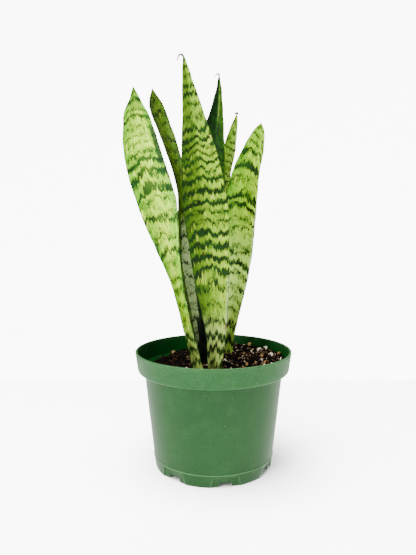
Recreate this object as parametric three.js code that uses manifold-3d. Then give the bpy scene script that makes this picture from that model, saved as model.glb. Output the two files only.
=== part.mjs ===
// A young banded snake plant in a six-inch plastic nursery pot.
//
// Millimetres, +Z up. The origin is on the pot's axis, in the plane of the foot that it stands on.
// -Y is the front, +X the right. Six stiff leaves rise from one buried rhizome; the soil is shaped
// round them; loose bark chips lie on top of it.

import * as THREE from 'three';
import { mergeVertices } from 'three/addons/utils/BufferGeometryUtils.js';
import Module from 'manifold-3d';

const wasm = await Module();
wasm.setup();

// ---- driving dimensions ---------------------------------------------------------------------

const gap = 0.3; // clearance kept between pieces that touch

// pot
const potHeight = 116;
const rimRadius = 78;
const bandBottomHeight = 96.5; // underside of the thick rim band
const bandBottomRadius = 75.4;
const bodyTopRadius = 68.9; // body just under the band
const waistHeight = 54; // halfway up the tapered body
const waistRadius = 64.6;
const footRadius = 58.3;
const seamHeight = 12.2; // raised parting line round the foot
const seamRadius = 60.3;
const wall = 1.3;
const footRingWidth = 3.8;
const floorUnderside = 8.6;
const floorThickness = 1.5;
const potSegments = 64;

// drainage
const notchCount = 7;
const notchTurn = 10.7; // degrees from the front to the first notch
const notchWidth = 27;
const notchTopWidth = 22;
const notchHeight = 9.4;
const notchDepth = 2.3;
const slotWidth = 13;
const slotHeight = 3.3;
const drainRadius = 4.5;
const drainCircle = 46;
const cutterLength = 16; // more than any wall that the slots and recesses go through

// soil
const soilLevel = 100; // height at the pot's axis
const soilRiseRight = 0.064; // slope towards +X
const soilRiseBack = 0.057; // slope towards +Y
const soilHollowLeft = 0.0005; // extra dip on the left
const soilSegments = 40;
const soilRings = 5;
const soilEdgeRadius = 70; // where the height of the soil's edge is measured

// plant
const leafFoot = 74; // where every leaf joins the rhizome
const footSlant = 1; // how far a leaning leaf's cut foot dips below its middle
const leafMidThickness = 3.2;
const leafEdgeThickness = 1.0;
const leafSteps = 28;
const channelPower = 1.6; // 1 is a sharp V, 2 a round U
const rhizomeRadius = 7;
const rootRadius = 1.6;
const rootCount = 8;
const rootReach = 34;
const rootLean = 8; // how far the roots trail towards the front

// chips
const chipThickness = 0.9;
const chipReach = 3; // distance from a chip's middle over which the soil under it is cleared

// Each leaf is a list of stations up its height:
// [height, across, back, width, turn of its face in degrees, depth of its channel]
const leafStations = {
  leaf_front_left: [
    [leafFoot, -10, -13, 9, 10, 4],
    [100, -15.5, -17, 9.5, 10, 5],
    [160, -29.5, -25, 8.5, 8, 7],
    [190, -35.5, -30, 11.5, 5, 8],
    [220, -42, -36, 21.5, 2, 8],
    [260, -50.5, -43, 34.5, -2, 7],
    [300, -61.5, -50, 33.5, -5, 6],
    [335, -67, -55, 21, -6, 4],
    [348, -68, -57, 8, -6, 3],
    [357, -69.5, -58, 0.5, -6, 0],
  ],
  leaf_tall_centre: [
    [leafFoot, 2, -15, 10, -8, 4],
    [100, 2, -16, 13.5, -8, 6],
    [140, 3, -16, 20.5, -8, 7],
    [180, -0.5, -14, 32, -8, 7],
    [220, -3.5, -12, 39, -8, 8],
    [260, -7, -10, 43, -8, 8],
    [300, -12, -8, 35.5, -8, 8],
    [345, -19, -6, 21, -8, 6],
    [385, -26, -4, 7, -8, 3],
    [403, -29.5, -3, 0.5, -8, 0],
  ],
  leaf_back_left: [
    [leafFoot, -8, 7, 10, 30, 3],
    [100, -11.5, 7.5, 14.5, 30, 4],
    [150, -18.7, 9.5, 20.5, 32, 5],
    [200, -27.2, 15.5, 24.5, 31, 6],
    [240, -29.5, 22, 20, 28, 6],
    [280, -33.5, 28, 14, 24, 6],
    [330, -48.5, 36, 15, 20, 5],
    [365, -60.5, 40, 14.5, 18, 3],
    [383, -63.5, 41, 0.5, 18, 0],
  ],
  leaf_back_dark: [
    [leafFoot, 2, 14, 12, -15, 4],
    [104, 1.5, 16, 14.5, -15, 6],
    [160, 0.5, 18, 20, -15, 6],
    [220, 0, 22, 25.5, -15, 7],
    [280, 0, 26, 28, -15, 7],
    [330, 1.5, 30, 22.5, -15, 5],
    [375, 6, 34, 7.5, -15, 3],
    [396, 6, 35, 0.5, -15, 0],
  ],
  leaf_back_pale: [
    [leafFoot, 12, 43, 8, 20, 3],
    [104, 10.5, 44, 8, 20, 4],
    [160, 8, 46, 13, 20, 5],
    [220, 7.5, 50, 15, 20, 5],
    [290, 10, 56, 14.5, 20, 5],
    [325, 17, 60, 14, 20, 4],
    [350, 23, 62, 6.5, 20, 2],
    [364, 27, 63, 0.5, 20, 0],
  ],
  leaf_right: [
    [leafFoot, 14, 30, 7, 5, 3],
    [104, 16, 32, 7.5, 5, 4],
    [140, 18.5, 34, 14.5, 5, 6],
    [170, 21.5, 36, 24, 3, 7],
    [210, 24.5, 38, 32.5, 1, 8],
    [250, 28, 41, 34, 0, 7],
    [290, 33.5, 43, 29.5, 0, 6],
    [325, 44, 45, 20, 0, 4],
    [340, 49, 46, 11, 0, 3],
    [349, 51, 47, 0.5, 0, 0],
  ],
};

// Loose bark chips: [across, back, length, width, turn in degrees, bend in degrees]
const chipPlan = [
  [57, 42, 5, 2.2, 20, 120],
  [60, 14, 6, 2.4, 75, 150],
  [42, -9, 4.5, 2, 10, 60],
  [41, 56, 5.5, 2.2, 140, 100],
  [50, 34, 6.5, 2.6, 50, 170],
  [69, 20, 4, 2, 100, 60],
  [28, 8, 4, 2.4, 160, 60],
  [52, -10, 4.5, 2, 35, 140],
  [33, -11, 4, 1.8, 120, 90],
  [-44, 52, 5, 1.8, 15, 40],
  [32, 26, 4.5, 2, 80, 110],
  [49, 8, 5, 2.2, 130, 130],
];

// ---- materials ------------------------------------------------------------------------------

function finish(color, roughness, metalness = 0) {
  return new THREE.MeshStandardMaterial({ color, roughness, metalness });
}

const leafColours = {
  leaf_front_left: 0xb4cc78,
  leaf_tall_centre: 0xa8c460,
  leaf_back_left: 0x5a7030,
  leaf_back_dark: 0x2f6a14,
  leaf_back_pale: 0x8ab050,
  leaf_right: 0x98bc48,
};
const potColour = 0x4f8050;
const soilColour = 0x21150f;
const rhizomeColour = 0xd8b27a;
const chipColour = 0xd4c19a;

// ---- geometry helpers -----------------------------------------------------------------------

const radians = THREE.MathUtils.degToRad;

// Closed solid through a stack of rings that all have the same number of points. Each ring runs
// anticlockwise as seen from the end of the stack, and the first and last ring are capped.
function loft(rings) {
  const count = rings[0].length;
  const positions = rings.flat().flatMap((point) => [point.x, point.y, point.z]);
  const indices = [];
  for (let k = 0; k < rings.length - 1; k += 1) {
    for (let i = 0; i < count; i += 1) {
      const a = k * count + i;
      const b = k * count + ((i + 1) % count);
      indices.push(a, b, b + count, a, b + count, a + count);
    }
  }
  addCap(indices, count, 0, true);
  addCap(indices, count, (rings.length - 1) * count, false);
  const geometry = new THREE.BufferGeometry();
  geometry.setAttribute('position', new THREE.Float32BufferAttribute(positions, 3));
  geometry.setIndex(indices);
  return geometry;
}

// Zigzag of triangles across a ring, between points that face each other, so that the cap stays
// inside a channel-shaped ring too.
function addCap(indices, count, first, reversed) {
  const addTriangle = (a, b, c) => {
    if (a === b || b === c) return;
    indices.push(first + a, first + (reversed ? c : b), first + (reversed ? b : c));
  };
  for (let i = 0; i < Math.floor((count - 1) / 2); i += 1) {
    const across = count - 1 - i;
    addTriangle(i, i + 1, across);
    if (i + 1 < across - 1) addTriangle(i + 1, across - 1, across);
  }
}

function toSolid(geometry) {
  const bare = geometry.clone();
  bare.deleteAttribute('normal');
  bare.deleteAttribute('uv');
  const merged = mergeVertices(bare, 1e-4);
  return new wasm.Manifold(new wasm.Mesh({
    numProp: 3,
    vertProperties: merged.attributes.position.array,
    triVerts: Uint32Array.from(merged.index.array),
  }));
}

function toGeometry(solid) {
  const mesh = solid.getMesh();
  const geometry = new THREE.BufferGeometry();
  geometry.setAttribute('position', new THREE.BufferAttribute(mesh.vertProperties, 3));
  geometry.setIndex(new THREE.BufferAttribute(mesh.triVerts, 1));
  return geometry;
}

// Tube of round section along a smooth curve through the points, swollen and lengthened by `grow`.
function tube(points, radius, sides, steps, grow) {
  const section = new THREE.Shape();
  section.absarc(0, 0, radius + grow, 0, 2 * Math.PI);
  const longer = (end, next) => end.clone().add(end.clone().sub(next).setLength(grow));
  const start = grow > 0 ? [longer(points[0], points[1])] : [];
  const stop = grow > 0 ? [longer(points[points.length - 1], points[points.length - 2])] : [];
  return new THREE.ExtrudeGeometry(section, {
    extrudePath: new THREE.CatmullRomCurve3([...start, ...points, ...stop]),
    steps,
    curveSegments: sides,
  });
}

// ---- pot ------------------------------------------------------------------------------------

// Half section of the pot, from the floor's underside out to the foot, up the outside, over the rim
// and down the inside. The small steps beside each named size are the moulding's rounded corners.
function potProfile() {
  const foot = footRadius - footRingWidth;
  const floorTop = floorUnderside + floorThickness;
  const shelf = bandBottomHeight + wall;
  return [
    [0, floorUnderside],
    [foot, floorUnderside],
    [foot, 0],
    [footRadius, 0],
    [seamRadius - 0.6, seamHeight - 0.6],
    [seamRadius, seamHeight],
    [seamRadius - 0.4, seamHeight + 0.7],
    [waistRadius, waistHeight],
    [bodyTopRadius, bandBottomHeight - 2.2],
    [bodyTopRadius + 0.7, bandBottomHeight - 1],
    [bandBottomRadius - 2.4, bandBottomHeight],
    [bandBottomRadius - 0.6, bandBottomHeight + 0.9],
    [bandBottomRadius, bandBottomHeight + 2.6],
    [rimRadius, potHeight - 1.1],
    [rimRadius - 0.4, potHeight - 0.3],
    [rimRadius - 1, potHeight],
    [rimRadius - 1.7, potHeight - 0.4],
    [rimRadius - 2.1, potHeight - 1.4],
    [bandBottomRadius - wall, shelf + 1.6],
    [bandBottomRadius - wall - 1.2, shelf],
    [bodyTopRadius - wall + 0.5, shelf - 0.2],
    [bodyTopRadius - wall, shelf - 1.2],
    [waistRadius - wall, waistHeight],
    [footRadius - wall + 0.4, floorTop + 2],
    [footRadius - wall - 1, floorTop],
    [0, floorTop],
  ].map(([radius, height]) => new THREE.Vector2(radius, height));
}

// One recess in the foot's outer face, the slot through the ring behind it, and the drain hole
// through the floor further in, as one cutting solid pointing at +X before it is turned.
function drainCutter() {
  const recess = new THREE.Shape([
    new THREE.Vector2(-notchWidth / 2, -1),
    new THREE.Vector2(notchWidth / 2, -1),
    new THREE.Vector2(notchTopWidth / 2, notchHeight),
    new THREE.Vector2(-notchTopWidth / 2, notchHeight),
  ]);
  const recessSolid = new THREE.ExtrudeGeometry(recess, { depth: cutterLength, bevelEnabled: false });
  recessSolid.rotateX(Math.PI / 2);
  recessSolid.rotateZ(Math.PI / 2);
  recessSolid.translate(footRadius - notchDepth, 0, 0);
  const slot = new THREE.BoxGeometry(cutterLength, slotWidth, slotHeight + 1);
  slot.translate(footRadius - notchDepth, 0, (slotHeight - 1) / 2);
  const drain = new THREE.CylinderGeometry(drainRadius, drainRadius, 8, 16);
  drain.rotateX(Math.PI / 2);
  drain.translate(drainCircle, 0, floorUnderside + floorThickness / 2);
  return toSolid(recessSolid).add(toSolid(slot)).add(toSolid(drain));
}

function potGeometry() {
  const shell = new THREE.LatheGeometry(potProfile(), potSegments);
  shell.rotateX(Math.PI / 2);
  let solid = toSolid(shell);
  const cutter = drainCutter();
  for (let k = 0; k < notchCount; k += 1) {
    solid = solid.subtract(cutter.rotate([0, 0, notchTurn - 90 + (k * 360) / notchCount]));
  }
  return toGeometry(solid);
}

// ---- leaves ---------------------------------------------------------------------------------

// Smooth value of one column of a leaf's stations at a height: a cubic between each pair of
// stations whose slopes are those of the line between the stations on either side.
function stationValue(stations, column, height) {
  const last = stations.length - 1;
  let k = 0;
  while (k < last - 1 && height > stations[k + 1][0]) k += 1;
  const slope = (i) => {
    const before = stations[Math.max(i - 1, 0)];
    const after = stations[Math.min(i + 1, last)];
    return (after[column] - before[column]) / (after[0] - before[0]);
  };
  const span = stations[k + 1][0] - stations[k][0];
  const t = (height - stations[k][0]) / span;
  const t2 = t * t;
  const t3 = t2 * t;
  return (2 * t3 - 3 * t2 + 1) * stations[k][column]
    + (t3 - 2 * t2 + t) * span * slope(k)
    + (3 * t2 - 2 * t3) * stations[k + 1][column]
    + (t3 - t2) * span * slope(k + 1);
}

// Closed blade: each ring is a shallow channel, thick down the middle and thin at the margins,
// square to the leaf's own line. `grow` swells it all round and lengthens its foot, for the pocket
// that it stands in; a pocket needs rings only up to a height that is `enough`.
function leafGeometry(stations, grow = 0, enough = Infinity) {
  const foot = stations[0][0];
  const tip = stations[stations.length - 1][0];
  const rings = grow > 0 ? [leafRing(stations, foot - 3 * grow, grow)] : [];
  for (let k = 0; k <= leafSteps; k += 1) {
    const height = foot + (tip - foot) * (k / leafSteps);
    rings.push(leafRing(stations, height, grow));
    if (height > enough) break;
  }
  return loft(rings);
}

function leafRing(stations, height, grow) {
  const held = THREE.MathUtils.clamp(height, stations[0][0], stations[stations.length - 1][0]);
  const value = (column) => stationValue(stations, column, held);
  const middle = new THREE.Vector3(value(1), value(2), height);
  const below = Math.max(held - 1, stations[0][0]);
  const above = Math.min(held + 1, stations[stations.length - 1][0]);
  const along = new THREE.Vector3(
    stationValue(stations, 1, above) - stationValue(stations, 1, below),
    stationValue(stations, 2, above) - stationValue(stations, 2, below),
    above - below,
  ).normalize();
  const turn = radians(value(4));
  const across = new THREE.Vector3(Math.cos(turn), Math.sin(turn), 0);
  across.addScaledVector(along, -across.dot(along)).normalize();
  const facing = new THREE.Vector3().crossVectors(across, along);
  const halfWidth = Math.max(value(3), 0.5) / 2;
  const cup = Math.max(value(5), 0);
  const slim = Math.min(1, halfWidth / 4);
  const places = [-1, -0.5, 0, 0.5, 1];
  const facePoint = (place, side) => {
    const size = Math.abs(place);
    const slope = (Math.sign(place) * cup * channelPower * size ** (channelPower - 1)) / halfWidth;
    const stretch = Math.hypot(1, slope);
    const thickness = THREE.MathUtils.lerp(leafMidThickness, leafEdgeThickness, size) * slim;
    const out = side * (thickness / 2 + grow);
    const beyond = size === 1 ? place * grow : 0;
    return middle.clone()
      .addScaledVector(across, place * halfWidth + (beyond - out * slope) / stretch)
      .addScaledVector(facing, cup * size ** channelPower + (out + beyond * slope) / stretch);
  };
  const front = places.map((place) => facePoint(place, 1));
  const back = places.map((place) => facePoint(place, -1)).reverse();
  return [...front, ...back];
}

// ---- rhizome --------------------------------------------------------------------------------

function vector([x, y, z]) {
  return new THREE.Vector3(x, y, z);
}

// Creeping stem under the leaves with short thick roots, swollen all round by `grow`.
function rhizomeSolid(grow = 0) {
  const centre = leafFoot - footSlant - gap - rhizomeRadius;
  const stem = [[-13, -15], [-3, -13], [0, 2], [3, 15], [13, 29], [12, 46]];
  const points = stem.map(([x, y]) => vector([x, y, centre]));
  let solid = toSolid(tube(points, rhizomeRadius, 5, 10, grow));
  for (let k = 0; k < rootCount; k += 1) {
    const angle = (k * 2 * Math.PI) / rootCount + 0.4;
    const start = points[k % points.length];
    const reach = (share, drop) => new THREE.Vector3(
      start.x + share * rootReach * Math.cos(angle),
      start.y + share * (rootReach * Math.sin(angle) - rootLean),
      start.z - drop,
    );
    const root = [reach(0, 0), reach(0.4, 5), reach(0.8, 18), reach(1, 38)];
    solid = solid.add(toSolid(tube(root, rootRadius, 3, 4, grow)));
  }
  return solid;
}

// ---- soil -----------------------------------------------------------------------------------

function soilHeight(x, y) {
  const dip = soilHollowLeft * Math.min(x, 0) ** 2;
  return soilLevel + soilRiseRight * x + soilRiseBack * y - dip;
}

// Radius of the pot's inner wall at a height below the shelf.
function insideRadius(height) {
  const share = (height - waistHeight) / (bandBottomHeight + 0.1 - waistHeight);
  return THREE.MathUtils.lerp(waistRadius, bodyTopRadius, share) - wall;
}

// Soil as a stack of closed rings: up the inside of the wall, out over the pot's inner shelf where
// the soil is higher than it, then in over the top to the axis.
function soilGeometry() {
  const floorTop = floorUnderside + floorThickness;
  const shelf = bandBottomHeight + wall;
  const bandRadius = bandBottomRadius - wall - gap - 0.8;
  const ring = (place) => {
    const points = [];
    for (let i = 0; i < soilSegments; i += 1) {
      points.push(place((i * 2 * Math.PI) / soilSegments));
    }
    return points;
  };
  const at = (radius, angle, height) => new THREE.Vector3(
    radius * Math.cos(angle),
    radius * Math.sin(angle),
    height,
  );
  const edge = (angle) => {
    const height = soilHeight(soilEdgeRadius * Math.cos(angle), soilEdgeRadius * Math.sin(angle));
    const lip = Math.min(shelf + gap, height - 0.7);
    const inner = insideRadius(Math.min(lip, bandBottomHeight)) - gap - 0.1;
    const spill = THREE.MathUtils.clamp(height - shelf - 0.9, 0, 1);
    return { height, lip, inner, radius: THREE.MathUtils.lerp(inner, bandRadius, spill) };
  };
  const rings = [
    ring((angle) => at(footRadius - wall - 1.6, angle, floorTop + gap)),
    ring((angle) => at(footRadius - wall - 0.1, angle, floorTop + 2)),
    ring((angle) => at(insideRadius(waistHeight) - gap - 0.1, angle, waistHeight)),
    ring((angle) => at(edge(angle).inner, angle, edge(angle).lip)),
    ring((angle) => at(edge(angle).radius, angle, edge(angle).lip + 0.2)),
  ];
  for (let k = soilRings; k > 0; k -= 1) {
    rings.push(ring((angle) => {
      const radius = (edge(angle).radius * k) / soilRings;
      return at(radius, angle, soilHeight(radius * Math.cos(angle), radius * Math.sin(angle)));
    }));
  }
  return loft(rings);
}

function soilWithPockets() {
  let solid = toSolid(soilGeometry()).subtract(rhizomeSolid(2 * gap));
  for (const stations of Object.values(leafStations)) {
    solid = solid.subtract(toSolid(leafGeometry(stations, 1.8 * gap, soilLevel + 15)));
  }
  return toGeometry(solid);
}

// ---- chips ----------------------------------------------------------------------------------

// Curled flake: an arc of constant thickness, extruded to its width, lying on the soil.
function chipGeometry([x, y, length, width, turn, bend]) {
  const sweep = radians(bend);
  const radius = length / sweep;
  const outline = new THREE.Shape();
  outline.absarc(0, 0, radius + chipThickness, (Math.PI + sweep) / 2, (Math.PI - sweep) / 2, true);
  outline.absarc(0, 0, radius, (Math.PI - sweep) / 2, (Math.PI + sweep) / 2, false);
  const flake = new THREE.ExtrudeGeometry(outline, {
    depth: width,
    bevelEnabled: false,
    curveSegments: 5,
  });
  flake.translate(0, 0, -width / 2);
  flake.rotateX(Math.PI / 2);
  flake.rotateZ(radians(turn));
  flake.computeBoundingBox();
  const highest = soilHeight(x, y) + chipReach * (soilRiseRight + soilRiseBack);
  flake.translate(x, y, highest + gap - flake.boundingBox.min.z);
  return flake;
}

// ---- assembly -------------------------------------------------------------------------------

const group = new THREE.Group();

function addPiece(name, geometry, material) {
  const mesh = new THREE.Mesh(geometry, material);
  mesh.name = name;
  group.add(mesh);
}

addPiece('pot', potGeometry(), finish(potColour, 0.45));
addPiece('soil', soilWithPockets(), finish(soilColour, 1));
addPiece('rhizome', toGeometry(rhizomeSolid()), finish(rhizomeColour, 0.8));
for (const [name, stations] of Object.entries(leafStations)) {
  addPiece(name, leafGeometry(stations), finish(leafColours[name], 0.4));
}
chipPlan.forEach((plan, index) => {
  const name = `bark_chip_${String(index + 1).padStart(2, '0')}`;
  addPiece(name, chipGeometry(plan), finish(chipColour, 0.9));
});

export default group;
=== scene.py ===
"""Looks for the potted snake plant: banded leaves, potting mix with bark chips, moulded pot.

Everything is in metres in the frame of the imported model: +Z up, the origin on the pot's axis at
the foot, -Y the front. The leaf stations and the pot's section repeat the model's construction in
millimetres and are turned into metres where the meshes are made.
"""

import math

import bpy
import numpy as np
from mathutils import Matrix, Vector


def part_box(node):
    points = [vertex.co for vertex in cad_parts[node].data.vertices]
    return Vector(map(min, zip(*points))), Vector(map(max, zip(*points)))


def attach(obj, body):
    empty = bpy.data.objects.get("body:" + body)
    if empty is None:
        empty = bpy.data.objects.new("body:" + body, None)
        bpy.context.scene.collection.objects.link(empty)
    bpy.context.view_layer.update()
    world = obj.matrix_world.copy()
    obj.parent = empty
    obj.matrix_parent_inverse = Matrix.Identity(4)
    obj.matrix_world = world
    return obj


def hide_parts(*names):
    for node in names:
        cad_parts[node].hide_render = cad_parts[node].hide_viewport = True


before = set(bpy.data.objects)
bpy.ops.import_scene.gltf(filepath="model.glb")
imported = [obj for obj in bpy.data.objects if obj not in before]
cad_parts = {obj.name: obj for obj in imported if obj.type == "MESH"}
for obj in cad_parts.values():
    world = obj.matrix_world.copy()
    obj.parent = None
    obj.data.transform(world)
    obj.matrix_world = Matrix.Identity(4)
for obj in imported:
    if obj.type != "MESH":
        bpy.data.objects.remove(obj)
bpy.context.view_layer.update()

MM = 0.001

# ---- driving sizes, in millimetres ----------------------------------------------------------

pot_low, pot_high = (np.array(corner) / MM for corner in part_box("pot"))
RIM_RADIUS = (pot_high[0] - pot_low[0]) / 2
POT_HEIGHT = pot_high[2] - pot_low[2]
BAND_BOTTOM = 96.5
BAND_RADIUS = 75.4
BODY_TOP_RADIUS = 68.9
WAIST_HEIGHT = 54.0
WAIST_RADIUS = 64.6
FOOT_RADIUS = 58.3
FOOT_RING = 3.8
SEAM_HEIGHT = 12.2
SEAM_RADIUS = 60.3
WALL = 1.3
SHELF = BAND_BOTTOM + WALL
SECTION_STEP = 3.4  # distance between points along the pot's section
FLOOR_UNDERSIDE = 8.6
FLOOR_TOP = 10.1

NOTCHES = 7
NOTCH_TURN = math.radians(10.7)
NOTCH_HALF = math.radians(13.4)
NOTCH_TOP_HALF = math.radians(11.2)
NOTCH_HEIGHT = 9.6
NOTCH_DEPTH = 2.3
SLOT_HALF = math.radians(6.2)
SLOT_HEIGHT = 4.0
DRAIN_RADIUS = 4.5
DRAIN_CIRCLE = 46.0
DRAIN_SIDES = 32

SOIL_LEVEL = 100.0
SOIL_RISE_RIGHT = 0.064
SOIL_RISE_BACK = 0.057
SOIL_HOLLOW_LEFT = 0.0005
SOIL_EDGE = 70.0  # where the height of the soil's edge is measured
SOIL_COLUMNS = 420
SOIL_ROWS = 150

LEAF_FOOT = 74.0

# A leaf's stations up its height: height, across, back, width, turn of its face in degrees,
# depth of its channel. Most of the across and width values were worked out by a separate fit and
# rounded to half a millimetre; the other columns were chosen by hand.
STATIONS = {
    "leaf_front_left": [
        (LEAF_FOOT, -10, -13, 9, 10, 4),
        (100, -15.5, -17, 9.5, 10, 5),
        (160, -29.5, -25, 8.5, 8, 7),
        (190, -35.5, -30, 11.5, 5, 8),
        (220, -42, -36, 21.5, 2, 8),
        (260, -50.5, -43, 34.5, -2, 7),
        (300, -61.5, -50, 33.5, -5, 6),
        (335, -67, -55, 21, -6, 4),
        (348, -68, -57, 8, -6, 3),
        (357, -69.5, -58, 0.5, -6, 0),
    ],
    "leaf_tall_centre": [
        (LEAF_FOOT, 2, -15, 10, -8, 4),
        (100, 2, -16, 13.5, -8, 6),
        (140, 3, -16, 20.5, -8, 7),
        (180, -0.5, -14, 32, -8, 7),
        (220, -3.5, -12, 39, -8, 8),
        (260, -7, -10, 43, -8, 8),
        (300, -12, -8, 35.5, -8, 8),
        (345, -19, -6, 21, -8, 6),
        (385, -26, -4, 7, -8, 3),
        (403, -29.5, -3, 0.5, -8, 0),
    ],
    "leaf_back_left": [
        (LEAF_FOOT, -8, 7, 10, 30, 3),
        (100, -11.5, 7.5, 14.5, 30, 4),
        (150, -18.7, 9.5, 20.5, 32, 5),
        (200, -27.2, 15.5, 24.5, 31, 6),
        (240, -29.5, 22, 20, 28, 6),
        (280, -33.5, 28, 14, 24, 6),
        (330, -48.5, 36, 15, 20, 5),
        (365, -60.5, 40, 14.5, 18, 3),
        (383, -63.5, 41, 0.5, 18, 0),
    ],
    "leaf_back_dark": [
        (LEAF_FOOT, 2, 14, 12, -15, 4),
        (104, 1.5, 16, 14.5, -15, 6),
        (160, 0.5, 18, 20, -15, 6),
        (220, 0, 22, 25.5, -15, 7),
        (280, 0, 26, 28, -15, 7),
        (330, 1.5, 30, 22.5, -15, 5),
        (375, 6, 34, 7.5, -15, 3),
        (396, 6, 35, 0.5, -15, 0),
    ],
    "leaf_back_pale": [
        (LEAF_FOOT, 12, 43, 8, 20, 3),
        (104, 10.5, 44, 8, 20, 4),
        (160, 8, 46, 13, 20, 5),
        (220, 7.5, 50, 15, 20, 5),
        (290, 10, 56, 14.5, 20, 5),
        (325, 17, 60, 14, 20, 4),
        (350, 23, 62, 6.5, 20, 2),
        (364, 27, 63, 0.5, 20, 0),
    ],
    "leaf_right": [
        (LEAF_FOOT, 14, 30, 7, 5, 3),
        (104, 16, 32, 7.5, 5, 4),
        (140, 18.5, 34, 14.5, 5, 6),
        (170, 21.5, 36, 24, 3, 7),
        (210, 24.5, 38, 32.5, 1, 8),
        (250, 28, 41, 34, 0, 7),
        (290, 33.5, 43, 29.5, 0, 6),
        (325, 44, 45, 20, 0, 4),
        (340, 49, 46, 11, 0, 3),
        (349, 51, 47, 0.5, 0, 0),
    ],
}


# ---- mesh helpers ---------------------------------------------------------------------------

def add_mesh(name, points, faces, material, smooth=True):
    """A mesh object from an array of points in millimetres and an array of faces (all triangles
    or all quads), with one material."""
    mesh = bpy.data.meshes.new(name)
    faces = np.asarray(faces, dtype=np.int32)
    sides = faces.shape[1]
    mesh.vertices.add(len(points))
    mesh.vertices.foreach_set("co", (np.asarray(points) * MM).ravel())
    mesh.loops.add(faces.size)
    mesh.loops.foreach_set("vertex_index", faces.ravel())
    mesh.polygons.add(len(faces))
    mesh.polygons.foreach_set("loop_start", np.arange(0, faces.size, sides))
    mesh.polygons.foreach_set("loop_total", np.full(len(faces), sides))
    mesh.update(calc_edges=True)
    mesh.validate()
    mesh.polygons.foreach_set("use_smooth", np.full(len(mesh.polygons), smooth))
    mesh.materials.append(material)
    piece = bpy.data.objects.new(name, mesh)
    bpy.context.scene.collection.objects.link(piece)
    return piece


def add_numbers(piece, name, values):
    """Stores one number for each vertex, for a material's Attribute node to read."""
    attribute = piece.data.attributes.new(name, "FLOAT", "POINT")
    attribute.data.foreach_set("value", np.asarray(values, dtype=np.float32))


def ring_faces(rows, columns):
    """Quads between neighbouring rows of a grid whose columns close on themselves."""
    row, column = np.meshgrid(np.arange(rows - 1), np.arange(columns), indexing="ij")
    here = row * columns + column
    beside = row * columns + (column + 1) % columns
    return np.stack([here, beside, beside + columns, here + columns], axis=-1).reshape(-1, 4)


def cap_faces(first, columns, centre, reverse):
    """Triangles from one ring of a grid to a centre point."""
    here = first + np.arange(columns)
    beside = first + (np.arange(columns) + 1) % columns
    middle = np.full(columns, centre)
    corners = [beside, here, middle] if reverse else [here, beside, middle]
    return np.stack(corners, axis=-1)


def closed_faces(rows, columns, flip=False):
    """Triangles of a stack of rings, closed at both ends by fans to two centre points that follow
    the rings in the list of points. With flip every face is turned round."""
    body = ring_faces(rows, columns)
    if flip:
        body = body[:, ::-1]
    first = cap_faces(0, columns, rows * columns, not flip)
    last = cap_faces((rows - 1) * columns, columns, rows * columns + 1, flip)
    return np.vstack([body[:, [0, 1, 2]], body[:, [0, 2, 3]], first, last])


def smooth_step(low, high, value):
    """0 below low, 1 above high, and an S curve between them."""
    t = np.clip((value - low) / (high - low), 0, 1)
    return t * t * (3 - 2 * t)


def hash_noise(points, seed):
    """Value noise: random values from -1 to 1 at the corners of a unit lattice, mixed by an
    S curve inside each cell."""
    cell = np.floor(points).astype(np.int64)
    part = points - cell
    part = part * part * (3 - 2 * part)
    total = 0
    for corner in np.ndindex((2,) * points.shape[-1]):
        place = cell + np.array(corner)
        mixed = (place * np.array([374761393, 668265263, 2147483647][:points.shape[-1]])).sum(-1)
        mixed = (mixed + seed * 1442695041) & 0x7FFFFFFF
        mixed = ((mixed ^ (mixed >> 13)) * 1274126177) & 0x7FFFFFFF
        mixed = ((mixed ^ (mixed >> 16)) * 1103515245) & 0x7FFFFFFF
        value = mixed / 0x3FFFFFFF - 1
        weight = np.prod(np.where(np.array(corner) == 1, part, 1 - part), axis=-1)
        total = total + value * weight
    return total


def layered_noise(points, seed, layers=3):
    """Value noise added up in layers, each twice as fine and half as strong as the last."""
    return sum(hash_noise(points * 2 ** k, seed + k) / 2 ** k for k in range(layers))


# ---- materials ------------------------------------------------------------------------------

class Value:
    """A socket in a material's nodes. Python's operators on it add Math nodes."""

    def __init__(self, finish, socket):
        self.finish = finish
        self.socket = socket

    def maths(self, operation, *inputs):
        return self.finish.node("ShaderNodeMath", {"operation": operation}, dict(enumerate(inputs)))

    def __add__(self, other):
        return self.maths("ADD", self, other)

    def __radd__(self, other):
        return self.maths("ADD", other, self)

    def __sub__(self, other):
        return self.maths("SUBTRACT", self, other)

    def __rsub__(self, other):
        return self.maths("SUBTRACT", other, self)

    def __mul__(self, other):
        return self.maths("MULTIPLY", self, other)

    def __rmul__(self, other):
        return self.maths("MULTIPLY", other, self)

    def __truediv__(self, other):
        return self.maths("DIVIDE", self, other)

    def __pow__(self, other):
        return self.maths("POWER", self, other)

    def __abs__(self):
        return self.maths("ABSOLUTE", self)

    def at_least(self, other):
        return self.maths("MAXIMUM", self, other)

    def wave(self):
        """Distance to the nearest whole number, from 0 to 0.5."""
        return abs(self.maths("FRACT", self + 0.5) - 0.5)

    def step(self, low, high):
        """S curve from 0 at low to 1 at high; low may be the larger of the two."""
        settings = {"interpolation_type": "SMOOTHSTEP"}
        inputs = {"Value": self, "From Min": low, "From Max": high}
        return self.finish.node("ShaderNodeMapRange", settings, inputs)


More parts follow.
